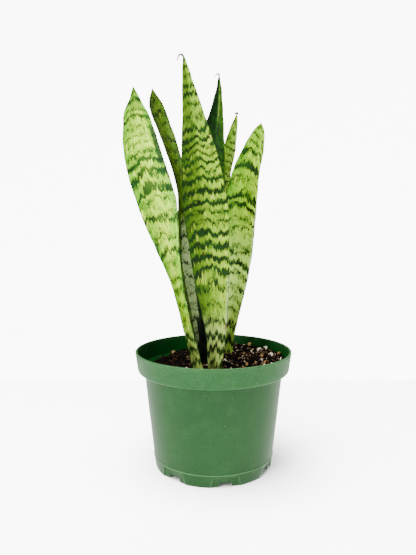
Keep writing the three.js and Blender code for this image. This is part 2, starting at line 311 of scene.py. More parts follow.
class Finish:
    """One node material, made by calls that each add a node and hand back its output."""

    def __init__(self, name):
        self.material = bpy.data.materials.new(name)
        self.material.use_nodes = True
        self.tree = self.material.node_tree
        self.shader = self.tree.nodes["Principled BSDF"]

    def node(self, kind, settings=None, inputs=None, output=0):
        node = self.tree.nodes.new(kind)
        for key, setting in (settings or {}).items():
            setattr(node, key, setting)
        for key, value in (inputs or {}).items():
            self.put(node.inputs[key], value)
        return Value(self, node.outputs[output])

    def put(self, socket, value):
        if isinstance(value, Value):
            self.tree.links.new(value.socket, socket)
        elif isinstance(value, tuple) and len(value) == 3 and socket.type == "RGBA":
            socket.default_value = (*value, 1)
        else:
            socket.default_value = value

    def number(self, name):
        """A number stored on the mesh."""
        return self.node("ShaderNodeAttribute", {"attribute_name": name}, output="Fac")

    def place(self):
        """Object coordinates, in metres."""
        return self.node("ShaderNodeTexCoord", output="Object")

    def stretch(self, vector, scale, shift=(0, 0, 0)):
        """The vector moved and then scaled along each axis."""
        moved = self.node("ShaderNodeVectorMath", {"operation": "ADD"}, {0: vector, 1: shift})
        return self.node("ShaderNodeVectorMath", {"operation": "MULTIPLY"}, {0: moved, 1: scale})

    def join(self, x, y, z=0.0):
        return self.node("ShaderNodeCombineXYZ", inputs={"X": x, "Y": y, "Z": z})

    def noise(self, vector, scale, detail=2.0, rough=0.5):
        """Soft noise around 0.5."""
        inputs = {"Vector": vector, "Scale": scale, "Detail": detail, "Roughness": rough}
        return self.node("ShaderNodeTexNoise", inputs=inputs)

    def cells(self, vector, scale):
        """Distance to the nearest of many scattered points."""
        inputs = {"Vector": vector, "Scale": scale}
        return self.node("ShaderNodeTexVoronoi", {"feature": "F1"}, inputs)

    def mix(self, share, first, second):
        """Colour between first (share 0) and second (share 1)."""
        inputs = {0: share, 6: first, 7: second}
        return self.node("ShaderNodeMix", {"data_type": "RGBA"}, inputs, output=2)

    def bump(self, height, distance, strength=1.0, under=None):
        inputs = {"Height": height, "Distance": distance, "Strength": strength}
        if under is not None:
            inputs["Normal"] = under
        return self.node("ShaderNodeBump", inputs=inputs)

    def finish(self, **sockets):
        """Sets the shader's sockets, named with underscores for spaces, and returns the material."""
        for key, value in sockets.items():
            self.put(self.shader.inputs[key.replace("_", " ")], value)
        return self.material


def shade(hex_colour):
    """A colour written as #rrggbb, as linear red, green and blue."""
    parts = [int(hex_colour[k:k + 2], 16) / 255 for k in (1, 3, 5)]
    return tuple(p / 12.92 if p <= 0.04045 else ((p + 0.055) / 1.055) ** 2.4 for p in parts)


# ---- pot ------------------------------------------------------------------------------------

def rounded_section(corners, spacing):
    """A section through corners given as (radius, height, rounding): straight runs cut into steps
    of about the spacing (or of the corner's fourth number, on the run that leads to it), and at
    each corner a parabola that leaves and meets the runs at the rounding's distance from it."""
    points = [np.array(corners[0][:2], float)]
    for k in range(1, len(corners) - 1):
        before, here, after = (np.array(corners[j][:2], float) for j in (k - 1, k, k + 1))
        rounding = corners[k][2]
        start = here + rounding * (before - here) / np.linalg.norm(before - here)
        stop = here + rounding * (after - here) / np.linalg.norm(after - here)
        points += straight(points[-1], start, corners[k][3] if len(corners[k]) > 3 else spacing)
        if rounding:
            t = np.linspace(0, 1, 7)[1:, None]
            points += list((1 - t) ** 2 * start + 2 * t * (1 - t) * here + t ** 2 * stop)
    points += straight(points[-1], np.array(corners[-1][:2], float), spacing)
    return np.array(points)


def straight(start, stop, spacing):
    """Evenly spaced points from start, left out, to stop."""
    steps = max(1, round(np.linalg.norm(stop - start) / spacing))
    return [start + (stop - start) * k / steps for k in range(1, steps + 1)]


def notch_angles():
    """Angles round the pot, from the front, close together at each drain recess's edges."""
    fine = np.concatenate([np.linspace(5.6, 6.8, 7), np.linspace(10.6, 14.2, 15)])
    half = np.concatenate([np.linspace(0, 5, 5), fine, np.linspace(15, 25, 10)])
    sector = np.radians(np.concatenate([-half[:0:-1], half]))
    starts = NOTCH_TURN + np.arange(NOTCHES) * 2 * np.pi / NOTCHES
    return (starts[:, None] + sector).ravel()


def from_notch(angle):
    """Signed angle from the middle of the nearest drain recess."""
    pitch = 2 * np.pi / NOTCHES
    return (angle - NOTCH_TURN + pitch / 2) % pitch - pitch / 2


def make_pot(material):
    """The pot's section turned about +Z. The foot's outer face is pushed in at each recess, and
    the foot's lower edge is raised at each slot, by products of S curves in angle and height."""
    foot_in = FOOT_RADIUS - FOOT_RING
    outer = [
        (0, FLOOR_UNDERSIDE, 0), (foot_in, FLOOR_UNDERSIDE, 0.8), (foot_in, 0, 0.5),
        (FOOT_RADIUS, 0, 0.7), (SEAM_RADIUS - 0.35, SEAM_HEIGHT - 0.7, 0.25, 1.2),
        (SEAM_RADIUS + 0.3, SEAM_HEIGHT - 0.1, 0.25), (SEAM_RADIUS - 0.25, SEAM_HEIGHT + 0.5, 0.3),
        (WAIST_RADIUS, WAIST_HEIGHT, 6), (BODY_TOP_RADIUS, BAND_BOTTOM - 1.0, 1.6),
        (BAND_RADIUS - 0.1, BAND_BOTTOM, 2.2), (RIM_RADIUS, POT_HEIGHT, 0.9),
        (RIM_RADIUS - 2.1, POT_HEIGHT, 0.9), (BAND_RADIUS - WALL, SHELF, 1.4),
        (BODY_TOP_RADIUS - WALL, SHELF - 0.4, 1.0), (WAIST_RADIUS - WALL, WAIST_HEIGHT, 4),
        (FOOT_RADIUS - WALL - 0.4, FLOOR_TOP, 1.5), (0, FLOOR_TOP, 0),
    ]
    section = rounded_section(outer, SECTION_STEP)[1:-1]
    rows = len(section)
    angle = notch_angles()
    columns = len(angle)
    radius = np.repeat(section[:, :1], columns, axis=1)
    height = np.repeat(section[:, 1:], columns, axis=1)
    row = np.arange(rows)[:, None]
    skirt_end = int(np.argmax(section[:, 1] > SEAM_HEIGHT + 1))
    top_row = int(np.argmax(section[:, 1]))
    near = np.abs(from_notch(angle))[None, :]
    share = np.clip(height / NOTCH_HEIGHT, 0, 1)
    half = NOTCH_HALF + (NOTCH_TOP_HALF - NOTCH_HALF) * share
    edge = math.radians(0.5)
    below_top = 1 - smooth_step(NOTCH_HEIGHT - 0.7, NOTCH_HEIGHT + 0.2, height)
    recess = below_top * (1 - smooth_step(half - edge, half + edge, near))
    flat = (FOOT_RADIUS - NOTCH_DEPTH + 1.4 * share) / np.cos(near)
    on_skirt = (row < skirt_end) & (radius > FOOT_RADIUS - 1.5)
    rib = np.exp(-((near - half - math.radians(0.9)) / math.radians(0.55)) ** 2) * below_top
    radius = radius + on_skirt * (0.2 * rib - recess * np.maximum(radius - flat, 0))
    slot = 1 - smooth_step(SLOT_HALF - math.radians(0.3), SLOT_HALF + math.radians(0.3), near)
    raised = SLOT_HEIGHT * slot * (1 - share)
    height = height + raised * (row < skirt_end)
    turn = np.repeat(angle[None, :], rows, axis=0)
    round_place = np.stack([np.cos(turn) * 9, np.sin(turn) * 9], axis=-1)
    inner_lip = np.exp(-((row - top_row - 4) / 4.0) ** 2)
    radius = radius - 0.16 * inner_lip * np.abs(layered_noise(round_place * 4, 5))
    radius = radius + 0.12 * layered_noise(round_place * 0.25, 9, 2)
    points = np.stack([radius * np.sin(turn), -radius * np.cos(turn), height], axis=-1)
    points = points.reshape(-1, 3)
    points = np.vstack([points, [0, 0, FLOOR_UNDERSIDE], [0, 0, FLOOR_TOP]])
    pot = add_mesh("nursery_pot", points, closed_faces(rows, columns), material)
    inside = np.repeat((row > top_row + 5).astype(float), columns, axis=1)
    # painted highlights: lip marks the rim's top edge, the seam line and the recess ribs, which get a
    # lighter colour where light catches them
    lip = np.repeat(1.5 * np.exp(-((row - top_row - 1) / 4.0) ** 2), columns, axis=1)
    lip = lip + 0.8 * np.exp(-((height - SEAM_HEIGHT) / 0.4) ** 2) * (row < skirt_end + 6)
    lip = lip + 0.25 * rib * on_skirt
    add_numbers(pot, "inside", np.append(inside.ravel(), [0, 1]))
    add_numbers(pot, "lip", np.append(lip.ravel(), [0, 0]))
    drill(pot)
    return pot


def drill(pot):
    """Cuts the drain holes through the pot's floor with upright cylinders."""
    sides = DRAIN_SIDES
    turn = np.arange(sides) * 2 * np.pi / sides
    points, faces = [], []
    for k in range(NOTCHES):
        middle = NOTCH_TURN + k * 2 * np.pi / NOTCHES
        x = DRAIN_CIRCLE * math.sin(middle) + DRAIN_RADIUS * np.cos(turn)
        y = -DRAIN_CIRCLE * math.cos(middle) + DRAIN_RADIUS * np.sin(turn)
        for z in (FLOOR_UNDERSIDE - 3, FLOOR_TOP + 3):
            points.append(np.stack([x, y, 0 * x + z], axis=-1))
        first = 2 * sides * k
        ring = ring_faces(2, sides) + first
        faces += [tuple(face) for face in ring.tolist()]
        faces.append(tuple(range(first + sides - 1, first - 1, -1)))
        faces.append(tuple(range(first + sides, first + 2 * sides)))
    mesh = bpy.data.meshes.new("drill")
    mesh.from_pydata((np.vstack(points) * MM).tolist(), [], faces)
    cutter = bpy.data.objects.new("drill", mesh)
    bpy.context.scene.collection.objects.link(cutter)
    cut = pot.modifiers.new("drain_holes", "BOOLEAN")
    cut.operation, cut.solver, cut.object = "DIFFERENCE", "EXACT", cutter
    bpy.context.view_layer.update()
    bored = pot.evaluated_get(bpy.context.evaluated_depsgraph_get())
    finished = bpy.data.meshes.new_from_object(bored)
    pot.modifiers.clear()
    pot.data = finished
    bpy.data.objects.remove(cutter)


# ---- soil -----------------------------------------------------------------------------------

def soil_height(x, y):
    """A plane that rises to the right and the back, with an extra dip on the left."""
    dip = SOIL_HOLLOW_LEFT * np.minimum(x, 0) ** 2
    return SOIL_LEVEL + SOIL_RISE_RIGHT * x + SOIL_RISE_BACK * y - dip


def soil_lumps(x, y):
    """Clods and hollows of the potting mix, from two sizes of layered noise."""
    place = np.stack([x, y], axis=-1)
    return 1.5 * layered_noise(place / 11, 21, 2) + 0.9 * layered_noise(place / 3.2, 31, 3)


def make_soil(material):
    """Rings from the axis out over the displaced top, down the inside of the wall and back to the
    axis along the floor. The outermost rings follow the pot's inner shelf where the soil covers
    it."""
    columns = SOIL_COLUMNS
    angle = np.arange(columns) * 2 * np.pi / columns
    cos, sin = np.cos(angle), np.sin(angle)
    rim_level = soil_height(SOIL_EDGE * cos, SOIL_EDGE * sin)
    spill = np.clip(rim_level - SHELF - 0.9, 0, 1)
    inner = BODY_TOP_RADIUS - WALL - 0.9
    edge = inner + spill * (BAND_RADIUS - WALL - 1.0 - inner)
    rings = []
    for share in np.linspace(0.006, 1, SOIL_ROWS):
        x, y = edge * share * cos, edge * share * sin
        fade = 1 - smooth_step(0.97, 1, share)
        rings.append((x, y, soil_height(x, y) + soil_lumps(x, y) * fade))
    lip = np.minimum(SHELF + 0.4, rim_level - 1.2)
    for radius, height in (
        (edge, lip + 0.3), (edge * 0 + inner, lip),
        (edge * 0 + WAIST_RADIUS - WALL - 0.5, WAIST_HEIGHT),
        (edge * 0 + FOOT_RADIUS - WALL - 2, FLOOR_TOP + 0.4),
    ):
        rings.append((radius * cos, radius * sin, height + edge * 0))
    points = np.stack([np.stack(ring, axis=-1) for ring in rings]).reshape(-1, 3)
    rows = len(rings)
    points = np.vstack([points, [0, 0, soil_height(0.0, 0.0)], [0, 0, FLOOR_TOP + 0.4]])
    return add_mesh("potting_mix", points, closed_faces(rows, columns, flip=True), material)


# ---- crumbs, chips and fibres ---------------------------------------------------------------

CRUMBS = 3400
FLAKES = 520
FIBRES = 260
CHIPS = 12
CHIP_STEPS = 15
PALE_CHIPS = (1, 2, 5)


def random_turns(random, count, tilt):
    """Rotation matrices: a free turn about +Z after a lean of up to tilt radians any way."""
    spin = random.uniform(0, 2 * np.pi, count)
    lean = random.uniform(-tilt, tilt, count)
    roll = random.uniform(-tilt, tilt, count)
    zero, one = np.zeros(count), np.ones(count)
    about_z = np.array([[np.cos(spin), -np.sin(spin), zero], [np.sin(spin), np.cos(spin), zero],
                        [zero, zero, one]])
    about_y = np.array([[np.cos(lean), zero, np.sin(lean)], [zero, one, zero],
                        [-np.sin(lean), zero, np.cos(lean)]])
    about_x = np.array([[one, zero, zero], [zero, np.cos(roll), -np.sin(roll)],
                        [zero, np.sin(roll), np.cos(roll)]])
    return np.einsum("ijn,jkn,kln->nil", about_z, about_y, about_x)


def scatter(name, shapes, faces, turns, places, tones, material, smooth=True):
    """Many copies of one shape as one mesh: shapes holds each copy's own points, which are turned
    and moved to the places; tones gives each copy one number for its colour."""
    count, corners = shapes.shape[:2]
    points = np.einsum("nij,nkj->nki", turns, shapes) + places[:, None, :]
    every = faces[None] + (np.arange(count) * corners)[:, None, None]
    piece = add_mesh(name, points.reshape(-1, 3), every.reshape(-1, faces.shape[1]), material, smooth)
    add_numbers(piece, "tone", np.repeat(tones, corners))
    return piece


def on_soil(random, count, spread):
    """Random places on the soil inside the pot: even over a disc, moved by spread, then pulled in
    to the wall, or to the band's inner face where the soil lies over the shelf."""
    radius = 69 * np.sqrt(random.uniform(0, 1, count))
    angle = random.uniform(0, 2 * np.pi, count)
    x, y = spread(radius * np.cos(angle), radius * np.sin(angle))
    reach = np.hypot(x, y)
    level = soil_height(SOIL_EDGE * x / reach, SOIL_EDGE * y / reach)
    limit = np.where(level > SHELF + 1.5, 71.5, 65.0)
    pull = np.minimum(1, limit / reach)
    x, y = x * pull, y * pull
    return np.stack([x, y, soil_height(x, y) + soil_lumps(x, y)], axis=-1)


def crumb_shape():
    """A lump: a twenty-sided solid from three crossed golden rectangles."""
    golden = (1 + 5 ** 0.5) / 2
    corners = []
    for first in (-1, 1):
        for second in (-golden, golden):
            corners += [(0, first, second), (first, second, 0), (second, 0, first)]
    corners = np.array(corners) / np.hypot(1, golden)
    distance = np.linalg.norm(corners[:, None] - corners[None], axis=-1)
    near = distance < distance[distance > 0.1].min() * 1.05
    faces = [(i, j, k) for i in range(12) for j in range(i + 1, 12) for k in range(j + 1, 12)
             if near[i, j] and near[j, k] and near[i, k]]
    outward = []
    for i, j, k in faces:
        normal = np.cross(corners[j] - corners[i], corners[k] - corners[i])
        outward.append((i, j, k) if normal @ corners[i] > 0 else (i, k, j))
    return corners, np.array(outward)


def curl_points(length, width, thickness, bend, steps=7):
    """A flake bent to an arc: length, width, thickness and bend are arrays with one value for each
    copy. The strip runs along x and bows up in z; its corners go round the strip at each step."""
    t = np.linspace(-0.5, 0.5, steps)[None, :, None]
    swing = bend[:, None, None] * t
    radius = (length / bend)[:, None, None]
    side = np.array([-0.5, 0.5, 0.5, -0.5])[None, None, :]
    level = np.array([-0.5, -0.5, 0.5, 0.5])[None, None, :]
    taper = 1 - 1.1 * t ** 2
    away = radius + thickness[:, None, None] * level * taper
    x = away * np.sin(swing)
    z = away * np.cos(swing) - radius * np.cos(bend[:, None, None] / 2)
    y = width[:, None, None] * side * taper + 0 * x
    return np.stack([x, y, z], axis=-1).reshape(len(length), -1, 3)


def curl_faces(steps=7):
    """Quads round the strip of curl_points, with a quad at each end."""
    around = ring_faces(steps, 4)
    last = (steps - 1) * 4
    ends = np.array([[3, 2, 1, 0], [last, last + 1, last + 2, last + 3]])
    return np.vstack([around, ends])


def lean_right(x, y):
    """Pushes an even spread towards the right and the back."""
    return 20 + x * 0.72, 3 + y * 0.95


def make_crumbs(material):
    """Lumps scattered evenly: each is stretched by its own size along three axes, and each of its
    corners is moved in or out a little."""
    random = np.random.default_rng(11)
    count = CRUMBS
    corners, faces = crumb_shape()
    size = random.gamma(3.0, 0.42, count)[:, None]
    size = size * random.uniform([0.6, 0.4, 0.25], [1.6, 0.9, 0.6], (count, 3))
    jitter = 1 + 0.35 * random.uniform(-1, 1, (count, 12, 1))
    shapes = corners[None] * jitter * size[:, None, :]
    places = on_soil(random, count, lambda x, y: (x, y))
    places[:, 2] += 0.25
    tones = random.uniform(0, 1, count)
    turns = random_turns(random, count, 0.9)
    return scatter("mix_crumbs", shapes, faces, turns, places, tones, material, False)


def make_flakes(material):
    """Small curled flakes, thicker on the ground towards the right and the back."""
    random = np.random.default_rng(23)
    count = FLAKES
    length = random.gamma(2.4, 0.62, count) + 0.8
    width = random.uniform(0.22, 0.5, count) * length
    thickness = random.uniform(0.15, 0.4, count)
    bend = random.uniform(0.6, 4.2, count)
    shapes = curl_points(length, width, thickness, bend)
    places = on_soil(random, count, lean_right)
    places[:, 2] += 0.5 + 0.2 * length
    tones = random.uniform(0, 1, count) ** 0.7
    turns = random_turns(random, count, 0.9)
    return scatter("bark_flakes", shapes, curl_faces(), turns, places, tones, material)


def make_fibres(material):
    """Long thin strips as thick as they are wide, bowed a little and leaning less than the crumbs."""
    random = np.random.default_rng(37)
    count = FIBRES
    length = random.uniform(4, 13, count)
    width = random.uniform(0.18, 0.45, count)
    bend = random.uniform(0.3, 1.6, count)
    shapes = curl_points(length, width, width, bend)
    places = on_soil(random, count, lambda x, y: (x, y))
    places[:, 2] += 0.3
    tones = random.uniform(0, 1, count)
    turns = random_turns(random, count, 0.5)
    return scatter("mix_fibres", shapes, curl_faces(), turns, places, tones, material)


def make_chip(number, material):
    """One of the large curled chips: it takes its middle, lowest point and size from its node."""
    node = f"bark_chip_{number:02d}"
    low, high = (np.array(corner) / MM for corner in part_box(node))
    random = np.random.default_rng(100 + number)
    reach = np.hypot(*(high - low)[:2])
    length = np.array([reach * 1.05])
    shapes = curl_points(length, length * random.uniform(0.3, 0.42), length * 0.1,
                         np.array([random.uniform(2.0, 3.8)]), CHIP_STEPS)
    shapes[..., 2] += 0.5 * layered_noise(shapes[0, :, :2] * 0.9 + number, number, 2)[None]
    shapes[..., 1] += 0.3 * layered_noise(shapes[0, :, ::2] * 0.7 + number, number + 50, 2)[None]
    turn = random_turns(random, 1, 0.35)
    low_point = np.einsum("nij,nkj->nki", turn, shapes)[0, :, 2].min()
    middle = (low + high) / 2
    place = np.array([[middle[0], middle[1], low[2] - low_point - 0.5]])
    tone = np.array([0.95 if number in PALE_CHIPS else random.uniform(0.4, 0.72)])
    faces = curl_faces(CHIP_STEPS)
    piece = scatter(f"curled_chip_{number:02d}", shapes, faces, turn, place, tone, material)
    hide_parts(node)
    return piece


# ---- leaves ---------------------------------------------------------------------------------

BLADE_ROWS = 250
BLADE_PLACES = 47  # points across one face, from margin to margin


def station_values(stations, heights):
    """Every column of a leaf's stations at the heights, by a cubic between each pair of stations
    whose slopes are those of the line between the stations on either side."""
    table = np.array(stations, float)
    level = table[:, 0]
    slope = np.empty_like(table)
    slope[1:-1] = (table[2:] - table[:-2]) / (level[2:] - level[:-2])[:, None]
    slope[0] = (table[1] - table[0]) / (level[1] - level[0])
    slope[-1] = (table[-1] - table[-2]) / (level[-1] - level[-2])
    k = np.clip(np.searchsorted(level, heights) - 1, 0, len(level) - 2)
    span = (level[k + 1] - level[k])[:, None]
    t = (heights[:, None] - level[k][:, None]) / span
    return ((2 * t ** 3 - 3 * t ** 2 + 1) * table[k] + (t ** 3 - 2 * t ** 2 + t) * span * slope[k]
            + (3 * t ** 2 - 2 * t ** 3) * table[k + 1] + (t ** 3 - t ** 2) * span * slope[k + 1])


class Turned:
    """A margin that turns: from this share of the half width out, the blade bends by an angle in
    degrees (towards the viewer when positive) over a range of heights with soft ends."""

    def __init__(self, side, start, angle, bottom, top, fade=12):
        self.side, self.start, self.angle = side, start, angle
        self.bottom, self.top, self.fade = bottom, top, fade

    def bend(self, heights, places):
        up = smooth_step(self.bottom - self.fade, self.bottom + self.fade, heights)
        down = 1 - smooth_step(self.top - self.fade, self.top + self.fade, heights)
        out = smooth_step(self.start, self.start + 0.12, places * self.side)
        return math.radians(self.angle) * self.side * (up * down)[:, None] * out[None, :]


def leaf_points(stations, turned, ripple, seed):
    """The blade as rings up its own line. Across a ring the surface's tilt is an angle for each
    place from margin to margin: the channel's slope plus any turned margin. Adding up the cosines
    and sines of that angle gives the section, which is scaled to the station's width. The two
    faces stand off it by half the thickness, which falls to nothing round each margin."""
    rows, places_count = BLADE_ROWS, BLADE_PLACES
    foot, top = stations[0][0], stations[-1][0]
    share = np.linspace(0, 1, rows)
    heights = foot + (top - foot) * (1 - (1 - share) ** 1.35)
    values = station_values(stations, heights)
    middle = np.stack([values[:, 1], values[:, 2], heights], axis=-1)
    along = np.gradient(middle, heights, axis=0)
    along /= np.linalg.norm(along, axis=1, keepdims=True)
    turn = np.radians(values[:, 4])
    across = np.stack([np.cos(turn), np.sin(turn), 0 * turn], axis=-1)
    across -= (across * along).sum(1, keepdims=True) * along
    across /= np.linalg.norm(across, axis=1, keepdims=True)
    facing = np.cross(across, along)
    width = np.minimum(np.maximum(values[:, 3], 0.5), 0.7 + 2.2 * (top - heights) ** 0.85)
    cup = np.maximum(values[:, 5], 0)
    places = np.sin(np.linspace(-1, 1, places_count) * np.pi / 2)
    slope = 1.6 * cup[:, None] * np.sign(places) * np.abs(places) ** 0.6 / (width[:, None] / 2)
    tilt = np.arctan(slope)
    for margin in turned:
        tilt = tilt + margin.bend(heights, places)
    step = np.diff(places)[None, :] * width[:, None] / 2
    between = (tilt[:, 1:] + tilt[:, :-1]) / 2
    start = np.zeros((rows, 1))
    aside = np.hstack([start, np.cumsum(np.cos(between) * step, axis=1)])
    depth = np.hstack([start, np.cumsum(np.sin(between) * step, axis=1)])
    reach = aside.max(1) - aside.min(1)
    aside = (aside - aside.min(1)[:, None]) * (width / reach)[:, None] - width[:, None] / 2
    depth = (depth - depth.min(1)[:, None]) * (width / reach)[:, None]
    wobble_place = np.stack([heights[:, None] / 17 + 0 * aside, places[None] * 1.5 + 0 * aside], -1)
    depth = depth + ripple * layered_noise(wobble_place, seed, 2) * np.minimum(1, width / 12)[:, None]
    edge_place = np.stack([heights[:, None] / 9 + 0 * aside, np.sign(places)[None] * 5 + 0 * aside], -1)
    aside = aside + 0.35 * np.sign(places) * np.abs(places) ** 4 * layered_noise(edge_place, seed + 9, 2)
    slim = np.minimum(1, width / 8)[:, None]
    thickness = (0.9 + 2.1 * (1 - np.abs(places) ** 1.5)) * np.sqrt(1 - np.abs(places) ** 12)
    out = slim * thickness[None, :] / 2
    normal_aside, normal_depth = -np.sin(tilt), np.cos(tilt)

    def face(side, order):
        a = (aside + side * out * normal_aside)[:, order]
        d = (depth + side * out * normal_depth)[:, order]
        return middle[:, None] + a[..., None] * across[:, None] + d[..., None] * facing[:, None]

    forward = np.arange(places_count)
    backward = forward[-2:0:-1]
    points = np.concatenate([face(1, forward), face(-1, backward)], axis=1)
    ring_places = np.concatenate([places[forward], places[backward]])
    is_back = np.concatenate([np.zeros(places_count), np.ones(places_count - 2)])
    return points, heights, ring_places, is_back


def dried_tip(base, path, radius):
    """A withered thread: a five-sided tube along a smooth path from the leaf's tip, tapering away.
    The path is a list of offsets from the tip; the tube's sides are worked out from its tangent."""
    offsets = np.array(path, float)
    t = np.linspace(0, len(offsets) - 1, 14)
    k = np.minimum(t.astype(int), len(offsets) - 2)
    part = (t - k)[:, None]
    line = base + offsets[k] * (1 - part) + offsets[k + 1] * part
    along = np.gradient(line, axis=0)
    along /= np.linalg.norm(along, axis=1, keepdims=True)
    side = np.cross(along, [0.2, 1, 0.1])
    side /= np.linalg.norm(side, axis=1, keepdims=True)
    other = np.cross(along, side)
    turn = np.arange(5) * 2 * np.pi / 5
    size = radius * np.linspace(1, 0.35, len(line))
    ring = np.cos(turn)[None, :, None] * side[:, None] + np.sin(turn)[None, :, None] * other[:, None]
    return line[:, None] + size[:, None, None] * ring


def make_leaf(name, plan, material):
    """A closed blade with the numbers its material reads: across from margin to margin, height in
    millimetres, which face, and the count and strength of the dark bands at each point."""
    stations = STATIONS[name]
    top = stations[-1][0]
    points, heights, places, is_back = leaf_points(
        stations, plan.get("turned", []), plan["ripple"], plan["seed"])
    rows, columns = points.shape[:2]
    flat = points.reshape(-1, 3)
    first_middle, last_middle = points[0].mean(0), points[-1].mean(0) + [0, 0, 0.2]
    flat = np.vstack([flat, first_middle, last_middle])
    triangles = closed_faces(rows, columns)
    across = np.tile(places, (rows, 1))
    level = np.repeat(heights[:, None], columns, axis=1)
    width = station_values(stations, heights)[:, 3]
    slope = np.clip(width / (1.6 * plan["half"]), 0.3, 1)[:, None]
    lifted = level - plan["chevron"](across) * slope
    bands = np.array(sorted([*plan["bands"], (stations[0][0] - 20, 0), (top + 12, 0)]), float)
    count = np.interp(lifted, bands[:, 0], np.arange(len(bands)))
    strength = np.interp(lifted, bands[:, 0], bands[:, 1])
    back = np.repeat(is_back[None, :], rows, axis=0)
    dry = smooth_step(top - plan["dry_top"], top - plan["dry_top"] / 2, level)
    dry = np.append(dry.ravel(), [0, 1])
    numbers = {"across": across, "level": level, "bands": count, "strength": strength, "back": back}
    numbers = {key: np.append(value.ravel(), [0, 0]) for key, value in numbers.items()}
    numbers["level"][-2:] = [heights[0], heights[-1]]
    if "thread" in plan:
        tube = dried_tip(last_middle, plan["thread"], plan["thread_size"])
        steps, sides = tube.shape[:2]
        offset = len(flat)
        flat = np.vstack([flat, tube.reshape(-1, 3), tube[0].mean(0), tube[-1].mean(0)])
        triangles = np.vstack([triangles, closed_faces(steps, sides) + offset])
        extra = steps * sides + 2
        numbers = {key: np.append(value, np.zeros(extra)) for key, value in numbers.items()}
        dry = np.append(dry, np.ones(extra))
    piece = add_mesh(f"blade_{name[5:]}", flat, triangles, material)
    numbers["dry"] = dry
    for key, value in numbers.items():
        add_numbers(piece, key, value)
    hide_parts(name)
    return piece


# ---- rhizome --------------------------------------------------------------------------------

def finish_rhizome(material):
    """The buried stem keeps its own shape and only takes a material."""
    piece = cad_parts["rhizome"]
    piece.data.materials.clear()
    piece.data.materials.append(material)


# ---- finishes -------------------------------------------------------------------------------

def pot_plastic():
    """Green injection-moulded plastic: satin, with a fine skin texture, sink marks, pale streaks inside
    that are partly painted reflection and partly smears, faint water spots and dust outside, and
    painted highlights along the rim's top edge, the seam and the recess ribs."""
    finish = Finish("satin_green_plastic")
    place = finish.place()
    wide = finish.noise(place, 9, 2)
    cloudy = finish.noise(place, 60, 4, 0.6)
    base = finish.mix(wide.step(0.3, 0.7), shade("#0c320f"), shade("#103612"))
    base = finish.mix(cloudy.step(0.45, 0.8) * 0.3, base, shade("#1d431f"))
    grain = finish.noise(place, 1100, 3, 0.7)
    base = finish.mix(grain.step(0.48, 0.66) * 0.3, base, shade("#244a26"))
    upright = finish.node("ShaderNodeSeparateXYZ", inputs={"Vector": place}, output="Z")
    specks = finish.cells(place, 420).step(0.16, 0.08) * finish.noise(place, 45, 1).step(0.55, 0.66)
    base = finish.mix(specks * 0.45, base, shade("#5d7555"))
    grit = finish.cells(place, 900).step(0.13, 0.06) * finish.noise(place, 70, 1).step(0.52, 0.6)
    base = finish.mix(grit * 0.7, base, shade("#0e220e"))
    # pale vertical streaks on the inner wall above the soil: partly painted reflection of glossy streaks,
    # partly smears
    streak_stretch = finish.stretch(place, (300, 300, 60))
    sheen_and_smear = finish.noise(streak_stretch, 1, 3, 0.7).step(0.62, 0.72) * finish.noise(place, 38, 2).step(0.55, 0.65)
    band = upright.step((BAND_BOTTOM - 1) * MM, (BAND_BOTTOM + 1) * MM)
    base = finish.mix(band * (0.12 + grain.step(0.45, 0.6) * 0.25), base, shade("#275a2d"))
    inside = upright.step((BAND_BOTTOM - 2) * MM, (BAND_BOTTOM + 4) * MM) * finish.number("inside")
    base = finish.mix(finish.number("inside") * 0.97, base, shade("#00400c"))
    base = finish.mix(sheen_and_smear * inside * 0.6, base, shade("#7b9570"))
    # painted highlight along the rim's top edge, the seam and the recess ribs
    lip = finish.number("lip")
    base = finish.mix(lip * 0.5, base, shade("#5f8f5c"))
    rough = 0.4 + wide * 0.08 + specks * 0.2
    skin = finish.noise(place, 1500, 2)
    normal = finish.bump(skin, 0.00004, 0.5)
    normal = finish.bump(finish.noise(place, 110, 2), 0.0002, 0.25, normal)
    normal = finish.bump(specks, 0.0002, 0.6, normal)
    return finish.finish(Base_Color=base, Roughness=rough, Normal=normal, Specular_IOR_Level=0.12)


def potting_mix():
    """Dark peat with fibres: black-brown, patchy and rough."""
    finish = Finish("dark_potting_mix")
    place = finish.place()
    patch = finish.noise(place, 90, 4, 0.65)
    grain = finish.noise(place, 700, 3, 0.7)
    fibre = finish.noise(finish.stretch(place, (1600, 260, 500)), 1, 2)
    base = finish.mix(patch.step(0.35, 0.7), shade("#020101"), shade("#0c0603"))
    base = finish.mix(grain.step(0.55, 0.75) * 0.5, base, shade("#1c0f08"))
    base = finish.mix(fibre.step(0.68, 0.74) * 0.4, base, shade("#6b4c30"))
    normal = finish.bump(grain, 0.0012, 0.9)
    normal = finish.bump(patch, 0.003, 0.6, normal)
    return finish.finish(Base_Color=base, Roughness=0.95, Normal=normal, Specular_IOR_Level=0.06)


def toned(name, dark, middle, light, rough, grain_scale):
    """A material whose colour runs from dark to light by each copy's own number, with grain."""
    finish = Finish(name)
    place = finish.place()
    tone = finish.number("tone")
    base = finish.mix(tone.step(0.0, 0.6), shade(dark), shade(middle))
    base = finish.mix(tone.step(0.6, 1.0), base, shade(light))
    grain = finish.noise(finish.stretch(place, (grain_scale, grain_scale * 0.4, grain_scale)), 1, 3, 0.7)
    base = finish.mix(grain.step(0.55, 0.75) * 0.55, base, shade(dark))
    normal = finish.bump(grain, 0.0006, 0.7)
    return finish.finish(Base_Color=base, Roughness=rough, Normal=normal, Specular_IOR_Level=0.12)


